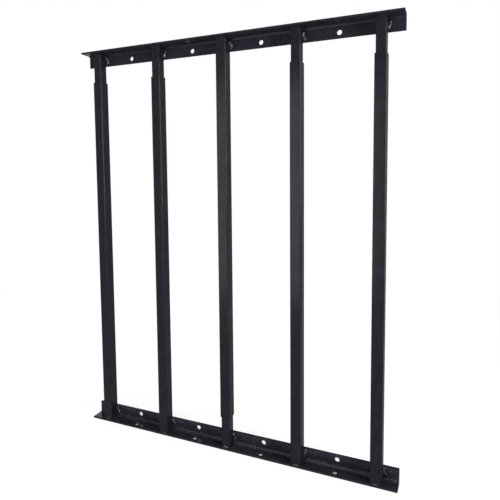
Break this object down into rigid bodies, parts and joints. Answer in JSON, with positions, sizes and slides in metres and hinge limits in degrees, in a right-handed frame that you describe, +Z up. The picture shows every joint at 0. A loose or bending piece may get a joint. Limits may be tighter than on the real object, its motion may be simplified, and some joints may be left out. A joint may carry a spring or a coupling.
{
  "type": "adjustable window grille",
  "caption": "Telescoping steel window grille: square tube bars slide in each other between two drilled angle rails, welded and painted black, to suit window openings of different height.",
  "frame": {"origin": "middle of the bottom rail's underside, on the bars' centre plane", "axes": "+Z up along the bars, +X along the rails to the viewer's right, +Y back towards the wall"},
  "size_m": [0.6, 0.025, 0.725],
  "materials": {
    "rail_paint": "semi-gloss black paint on rolled angle",
    "bar_paint": "semi-gloss black paint on square tube",
    "weld_paint": "glossy black paint over lumpy weld"
  },
  "bodies": {
    "lower_frame": {"bottom_rail": "rail_paint", "bar_1_outer": "bar_paint", "bar_2_outer": "bar_paint", "bar_3_inner": "bar_paint", "bar_4_outer": "bar_paint", "bar_5_outer": "bar_paint", "weld_bottom_1_left": "weld_paint", "weld_bottom_1_right": "weld_paint", "weld_bottom_1_front": "weld_paint", "weld_bottom_2_left": "weld_paint", "weld_bottom_2_right": "weld_paint", "weld_bottom_2_front": "weld_paint", "weld_bottom_3_left": "weld_paint", "weld_bottom_3_right": "weld_paint", "weld_bottom_3_front": "weld_paint", "weld_bottom_4_left": "weld_paint", "weld_bottom_4_right": "weld_paint", "weld_bottom_4_front": "weld_paint", "weld_bottom_5_left": "weld_paint", "weld_bottom_5_right": "weld_paint", "weld_bottom_5_front": "weld_paint"},
    "upper_frame": {"top_rail": "rail_paint", "bar_1_inner": "bar_paint", "bar_2_inner": "bar_paint", "bar_3_outer": "bar_paint", "bar_4_inner": "bar_paint", "bar_5_inner": "bar_paint", "weld_top_1_left": "weld_paint", "weld_top_1_right": "weld_paint", "weld_top_2_left": "weld_paint", "weld_top_2_right": "weld_paint", "weld_top_3_left": "weld_paint", "weld_top_3_right": "weld_paint", "weld_top_4_left": "weld_paint", "weld_top_4_right": "weld_paint", "weld_top_5_left": "weld_paint", "weld_top_5_right": "weld_paint"}
  },
  "joints": [
    {"name": "height_slide", "type": "slide", "parent": "lower_frame", "child": "upper_frame", "axis": [0, 0, 1], "range_m": [0, 0.5]}
  ]
}
